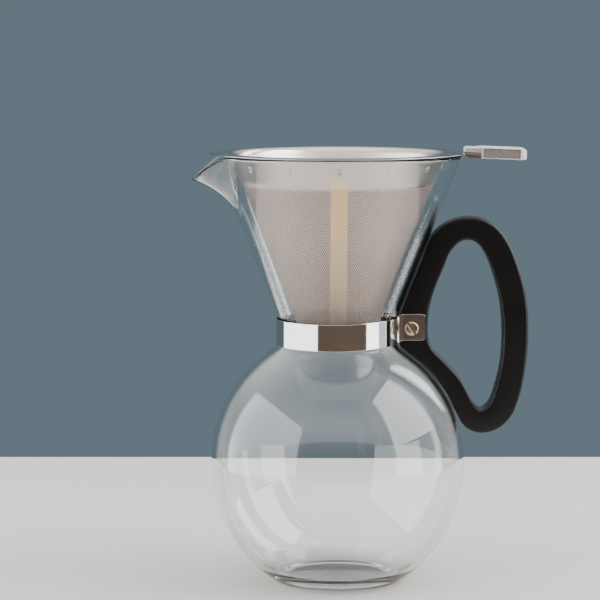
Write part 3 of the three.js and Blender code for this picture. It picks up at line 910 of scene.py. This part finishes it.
def polished_steel():
    """Bright strip, with the ears beyond the bend a little softer and a little darker; their darker tone
    is painted shade.
    """
    n = Nodes("polished_steel")
    at = n.coords()
    grain = n.noise(at, 900.0, 4.0, 0.7, stretch=(1, 1, 12))
    cloud = n.noise(at, 60.0, 4.0, 0.6)
    tone = n.ramp(cloud, [(0.3, (0.62, 0.61, 0.605)), (0.7, (0.72, 0.71, 0.70))])
    scratch = n.bump(grain, 0.03, 0.00001)
    along = n.add("ShaderNodeSeparateXYZ", {0: at}).outputs[0]
    ears = n.step(along, (EAR_FROM - 0.5) * MM, (EAR_FROM + 1.0) * MM)
    # Painted shade: the ears get a darker copy of the strip's steel.
    ear_painted_shade = n.ramp(cloud, [(0.35, (0.42, 0.405, 0.40)), (0.65, (0.58, 0.56, 0.55))])
    spread = n.math("ADD", n.span(cloud, 0.03, 0.08), n.math("MULTIPLY", ears, 0.1))
    colour = n.mix(ears, tone, ear_painted_shade)
    return n.set(colour=colour, rough=spread, normal=scratch, metal=1.0)


def rim_steel_material():
    """Satin collar with a warmer strip over the cone's seam, and a glossier flange. The strip's warm tone
    is a painted reflection, and the flange's darker tone is a painted dark reflection.
    """
    n = Nodes("rim_steel")
    at = n.coords()
    xyz = n.add("ShaderNodeSeparateXYZ", {0: at}).outputs
    height = xyz[2]
    grain = n.noise(at, 420.0, 4.0, 0.65, stretch=(1, 1, 9))
    cloud = n.noise(at, 55.0, 4.0, 0.6)
    tone = n.ramp(n.math("ADD", n.math("MULTIPLY", cloud, 0.6), n.math("MULTIPLY", grain, 0.4)),
                  [(0.3, (0.62, 0.56, 0.515)), (0.7, (0.74, 0.68, 0.635))])
    satin = n.span(cloud, 0.27, 0.36)
    bright = n.span(cloud, 0.12, 0.2)
    upper = n.step(height, *COLLAR_BRIGHTENS)
    flange = n.step(height, *FLANGE_STARTS)
    # Painted dark reflection: the flange gets a darker copy of the collar's steel.
    tone = n.mix(flange, tone, (0.40, 0.395, 0.39, 1))
    near_middle = n.step(n.math("ABSOLUTE", xyz[0]), *COLLAR_SEAM_HALF)
    front = n.math("MULTIPLY", near_middle, n.math("LESS_THAN", xyz[1], 0.0))
    seam = n.math("MULTIPLY", front, n.step(height, *COLLAR_SEAM_FADES))
    # Painted reflection: the strip over the seam is tinted warm tan.
    tone = n.mix(n.math("MULTIPLY", seam, 0.8), tone, (0.93, 0.70, 0.42, 1))
    rough = n.add("ShaderNodeMix", {0: upper, 2: satin, 3: bright}).outputs[0]
    return n.set(colour=tone, rough=rough, normal=n.bump(grain, 0.12, 0.00002), metal=1.0)


def perforated_steel():
    """Staggered round holes in the flat sheet, filled with painted shade, with a plain seam strip whose
    warm tone is a painted reflection, and plain margins.
    """
    n = Nodes("perforated_sheet")
    uv = n.coords("UV")
    split = n.add("ShaderNodeSeparateXYZ", {0: uv})
    u, v = split.outputs[0], split.outputs[1]
    row = HOLE_PITCH * math.sqrt(3)

    def lattice(offset):
        # The large whole number keeps FRACT's input positive.
        a = n.math("FRACT", n.math("ADD", n.math("DIVIDE", u, HOLE_PITCH), 1000.0 + offset))
        b = n.math("FRACT", n.math("ADD", n.math("DIVIDE", v, row), 1000.0 + offset))
        a = n.math("MULTIPLY", n.math("SUBTRACT", a, 0.5), HOLE_PITCH)
        b = n.math("MULTIPLY", n.math("SUBTRACT", b, 0.5), row)
        return n.math("SQRT", n.math("ADD", n.math("MULTIPLY", a, a), n.math("MULTIPLY", b, b)))

    distance = n.math("MINIMUM", lattice(0.0), lattice(0.5))
    edge = {"Value": distance, "From Min": HOLE_R - HOLE_BLUR, "From Max": HOLE_R + HOLE_BLUR}
    solid = n.add("ShaderNodeMapRange", edge)
    at = n.coords()
    xyz = n.add("ShaderNodeSeparateXYZ", {0: at})
    in_strip = n.step(n.math("ABSOLUTE", xyz.outputs[0]), *CONE_SEAM_HALF)
    strip = n.math("MULTIPLY", in_strip, n.math("LESS_THAN", xyz.outputs[1], 0.0))
    margin = n.math("GREATER_THAN", xyz.outputs[2], HOLES_END)
    plain = n.math("MAXIMUM", strip, margin)
    metal_mask = n.math("MAXIMUM", solid.outputs["Result"], plain)
    cloud = n.noise(at, 45.0, 4.0, 0.6)
    streak = n.noise(at, 500.0, 3.0, 0.6, stretch=(1, 1, 0.06))
    shade = n.math("ADD", n.math("MULTIPLY", cloud, 0.6), n.math("MULTIPLY", streak, 0.4))
    steel = n.ramp(shade, [(0.3, (0.62, 0.50, 0.44)), (0.7, (0.76, 0.62, 0.555))])
    # Painted reflection: the plain seam strip is real, its warm tan tone is painted.
    seam = n.ramp(shade, [(0.3, (0.93, 0.66, 0.34)), (0.7, (1.0, 0.76, 0.44))])
    sheet_tone = n.mix(strip, steel, seam)
    # Darker towards the bottom, with a ragged upper edge.
    ragged_height = n.math("SUBTRACT", xyz.outputs[2], n.math("MULTIPLY", cloud, 0.02))
    darker_below = n.step(ragged_height, *CONE_DARKER_BELOW)
    metal = n.mix(darker_below, sheet_tone, (0.40, 0.31, 0.25, 1))
    # Painted shade: the holes are filled with a near-black colour.
    colour = n.mix(metal_mask, (0.05, 0.045, 0.04, 1), metal)
    rough = n.span(metal_mask, 0.75, 0.46)
    relief = n.bump(metal_mask, 0.5, 0.0001)
    brushed = n.bump(streak, 0.12, 0.00003, relief)
    return n.set(colour=colour, rough=rough, normal=brushed, metal=0.8)


def woven_mesh(name, coordinate="UV", scale=1.0):
    """Plain weave: crossing wires whose heights alternate, with painted shade in the gaps between them.
    """
    n = Nodes(name)
    at = n.coords(coordinate)
    split = n.add("ShaderNodeSeparateXYZ", {0: at})
    turn = math.pi / WIRE_PITCH * scale
    a = n.math("SINE", n.math("MULTIPLY", split.outputs[0], turn))
    b = n.math("SINE", n.math("MULTIPLY", split.outputs[1], turn))
    weave = n.math("MULTIPLY", a, b)
    wires = n.math("MAXIMUM", n.math("ABSOLUTE", a), n.math("ABSOLUTE", b))
    cloud = n.noise(n.coords(), 60.0, 4.0, 0.6)
    # Painted shade: dark gaps between the wires and darker wire edges.
    tone = n.ramp(n.math("MULTIPLY", wires, n.span(cloud, 0.75, 1.1)),
                  [(0.35, (0.12, 0.115, 0.11)), (0.8, (0.56, 0.55, 0.53)), (1.0, (0.7, 0.69, 0.68))])
    relief = n.bump(n.math("ADD", weave, wires), 0.4, 0.00008)
    return n.set(colour=tone, rough=n.span(cloud, 0.28, 0.45), normal=relief, metal=1.0)


def moulded_plastic(name, dark, light, rough):
    """Matte moulding with a fine sparked skin."""
    n = Nodes(name)
    at = n.coords()
    cloud = n.noise(at, 35.0, 5.0, 0.6)
    fine = n.noise(at, 2600.0, 2.0, 0.6)
    tone = n.ramp(n.math("ADD", n.math("MULTIPLY", cloud, 0.7), n.math("MULTIPLY", fine, 0.3)),
                  [(0.3, dark), (0.7, light)])
    skin = n.bump(fine, 0.25, 0.00006)
    wavy = n.bump(cloud, 0.08, 0.0006, skin)
    return n.set(colour=tone, rough=n.span(cloud, *rough), normal=wavy, specular=0.3)


def grip_plastic():
    """Pale grey moulding with sparked side panels in their sunk frames; the panels and the neck's sides
    are darker, as painted shade.
    """
    n = Nodes("grey_plastic")
    at = n.coords()
    xyz = n.add("ShaderNodeSeparateXYZ", {0: at}).outputs
    y = n.math("ABSOLUTE", xyz[1])
    facing = n.add("ShaderNodeNewGeometry").outputs["Normal"]
    sideways = n.math("ABSOLUTE", n.add("ShaderNodeSeparateXYZ", {0: facing}).outputs[1])
    side = n.step(sideways, 0.75, 0.9)
    past_neck = n.math("GREATER_THAN", xyz[0], GRIP_BODY[0])
    on_body = n.math("MULTIPLY", past_neck, n.math("LESS_THAN", xyz[0], GRIP_BODY[1]))
    on_neck = n.math("SUBTRACT", 1.0, past_neck)
    sunk = n.math("LESS_THAN", y, GRIP_PANEL_FACE)
    panel = n.math("MULTIPLY", side, n.math("MULTIPLY", sunk, on_body))
    neck = n.math("MULTIPLY", side, on_neck)
    cloud = n.noise(at, 35.0, 5.0, 0.6)
    fine = n.noise(at, 2600.0, 2.0, 0.6)
    shade = n.math("ADD", n.math("MULTIPLY", cloud, 0.7), n.math("MULTIPLY", fine, 0.3))
    frame_tone = n.ramp(shade, [(0.3, (0.54, 0.54, 0.55)), (0.7, (0.63, 0.63, 0.64))])
    # Painted shade: darker tones on the sideways faces of the neck and the sunk panels.
    neck_painted_shade = n.ramp(shade, [(0.3, (0.29, 0.29, 0.32)), (0.7, (0.35, 0.35, 0.38))])
    panel_painted_shade = n.ramp(shade, [(0.3, (0.15, 0.131, 0.118)), (0.7, (0.19, 0.165, 0.15))])
    spark = n.bump(fine, 0.2, 0.00006)
    rough = n.math("ADD", n.span(cloud, 0.32, 0.42), n.math("MULTIPLY", panel, 0.2))
    colour = n.mix(neck, n.mix(panel, frame_tone, panel_painted_shade), neck_painted_shade)
    return n.set(colour=colour, rough=rough, normal=spark)


def turned_metal(name, dark, light, rough):
    n = Nodes(name)
    at = n.coords()
    shifted = n.add("ShaderNodeMapping", {
        "Vector": at, "Location": (-SCREW_X * MM, 0.0, -SCREW_Z * MM)}).outputs[0]
    rings = n.add("ShaderNodeTexWave", {"Vector": shifted, "Scale": 900.0, "Distortion": 1.5,
                                        "Detail": 2.0}, wave_type="RINGS", rings_direction="Y")
    cloud = n.noise(at, 500.0, 4.0, 0.65)
    tone = n.ramp(cloud, [(0.3, dark), (0.7, light)])
    relief = n.bump(rings.outputs["Fac"], 0.15, 0.00002)
    return n.set(colour=tone, rough=n.span(cloud, *rough), normal=relief, metal=1.0)


def give(obj, material):
    obj.data.materials.clear()
    obj.data.materials.append(material)
    return obj


# ------------------------------------------------------------------ assembly

def place(obj, material, body, node, slot):
    """Gives a piece its material and its body, and hides the CAD node it stands for. The slot argument is
    not used.
    """
    give(obj, material)
    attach(obj, body)
    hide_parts(node)
    return obj


polished = polished_steel()
rim_steel = rim_steel_material()
mesh_steel = woven_mesh("woven_mesh")
disc_mesh = woven_mesh("disc_mesh", "Object", 1000.0)
zinc = turned_metal("zinc_plate", (0.42, 0.43, 0.45), (0.6, 0.61, 0.62), (0.25, 0.4))
brass = turned_metal("brass_plate", (0.46, 0.37, 0.25), (0.64, 0.54, 0.40), (0.16, 0.28))
black = moulded_plastic("black_plastic", (0.0015, 0.0015, 0.0018), (0.003, 0.003, 0.0034), (0.3, 0.42))
grey = grip_plastic()

place(build_glass(), glass_material(), "carafe", "carafe_glass", "glass")
place(build_band(), polished, "carafe", "neck_band", "polished_steel")
place(build_handle(), black, "carafe", "handle", "handle_plastic")
place(build_lock_washer(), zinc, "carafe", "lock_washer", "zinc_steel")
place(build_nut(), zinc, "carafe", "clamp_nut", "zinc_steel")
place(build_screw(), brass, "screw", "clamp_screw", "brass")
place(build_rim(), rim_steel, "filter", "filter_rim", "polished_steel")
place(cone_wall("perforated_cone", sheet_radius, SHEET_T, SHEET_LOW, SHEET_HIGH, 3.7, 0.16),
      perforated_steel(), "filter", "filter_outer_cone", "perforated_steel")
place(cone_wall("mesh_cone", lambda z: sheet_radius(z) - (SHEET_T + NEST) * SLANT, MESH_T,
                SHEET_LOW, MESH_HIGH, 3.0, 0.0),
      mesh_steel, "filter", "filter_inner_mesh", "woven_mesh")
place(build_base_cup(), rim_steel, "filter", "filter_base_cup", "polished_steel")
place(build_base_mesh(), disc_mesh, "filter", "filter_base_mesh", "woven_mesh")
place(build_grip(), grey, "filter", "filter_grip", "grip_plastic")

# ------------------------------------------------------------------ stage and light

FLOOR_HALF, FLOOR_CORNER = 350.0, 120.0
ROOM = (0.175, 0.13, 0.10, 1.0)
BACKDROP = (0.128, 0.178, 0.212, 1.0)
CEILING = (1.5, 1.5, 1.5, 1.0)


def build_floor():
    """A plain pale table top with rounded corners."""
    outline = []
    inset = FLOOR_HALF - FLOOR_CORNER
    for i, (cx, cy) in enumerate(((inset, inset), (-inset, inset), (-inset, -inset), (inset, -inset))):
        outline += arc(cx, cy, FLOOR_CORNER, i * math.pi / 2, (i + 1) * math.pi / 2, 24)
    floor = swept("floor", [[(x, y, z) for x, y in outline] for z in (-18.0, -0.02)])
    bevel = floor.modifiers.new("edges", "BEVEL")
    bevel.width = 0.002
    bevel.segments = 3
    n = Nodes("floor_paint")
    cloud = n.noise(n.coords(), 3.0, 3.0)
    n.set(colour=n.ramp(cloud, [(0.3, (0.60, 0.565, 0.53)), (0.7, (0.64, 0.605, 0.57))]), rough=0.6)
    give(floor, n.material)


def build_world():
    """Plain surroundings: a grey-blue backdrop, a dark room in front of it and a pale ceiling."""
    world = bpy.data.worlds.new("studio")
    n = Nodes("studio", world)
    direction = n.add("ShaderNodeSeparateXYZ", {0: n.coords("Generated")}).outputs
    sides = n.mix(n.step(direction[1], -0.45, 0.3), ROOM, BACKDROP)
    colour = n.mix(n.step(direction[2], 0.2, 0.65), sides, CEILING)
    n.tree.links.new(colour, n.tree.nodes["Background"].inputs["Color"])
    bpy.context.scene.world = world


def softbox(name, azimuth, distance, width, low, high, radiance, colour):
    """An upright rectangle of light, facing the vessel. Azimuth 0 is -Y and 90 is +X."""
    data = bpy.data.lights.new(name, "AREA")
    data.shape = "RECTANGLE"
    data.size, data.size_y = width, high - low
    data.energy = radiance * math.pi * width * (high - low)
    data.color = colour
    light = bpy.data.objects.new(name, data)
    turn = math.radians(azimuth)
    at = Vector((math.sin(turn) * distance, -math.cos(turn) * distance, (low + high) / 2))
    light.location = at
    inward = Vector((-at.x, -at.y, 0.0))
    light.rotation_euler = inward.to_track_quat("-Z", "Y").to_euler()
    light.visible_camera = False
    bpy.context.scene.collection.objects.link(light)


def overhead(name, at, size, radiance):
    data = bpy.data.lights.new(name, "AREA")
    data.shape = "RECTANGLE"
    data.size, data.size_y = size
    data.energy = radiance * math.pi * size[0] * size[1]
    light = bpy.data.objects.new(name, data)
    light.location = at
    light.visible_camera = False
    bpy.context.scene.collection.objects.link(light)


build_floor()
build_world()
# Windows round the vessel: name, azimuth, distance, width, low, high, radiance, colour
WINDOWS = [
    ("left_window", -78, 1.1, 1.86, -0.2, 0.98, 4.0, (0.95, 0.98, 1.0)),
    ("right_window", 67, 1.1, 0.53, -0.2, 0.35, 5.0, (1.0, 0.99, 0.97)),
    ("right_curtain", 90, 1.1, 0.35, -0.2, 0.35, 1.1, (0.8, 0.88, 1.0)),
    ("right_pane", 103, 1.1, 0.15, -0.2, 0.35, 4.6, (1.0, 0.93, 0.82)),
    ("right_upper", 80, 1.1, 1.12, 0.37, 1.8, 6.0, (1.0, 1.0, 0.99)),
    ("back_window", 132, 1.2, 0.3, 0.2, 1.4, 5.0, (0.97, 0.99, 1.0)),
]
for window in WINDOWS:
    softbox(*window)
overhead("overhead", (0.0, -0.1, 1.5), (1.5, 1.3), 0.5)
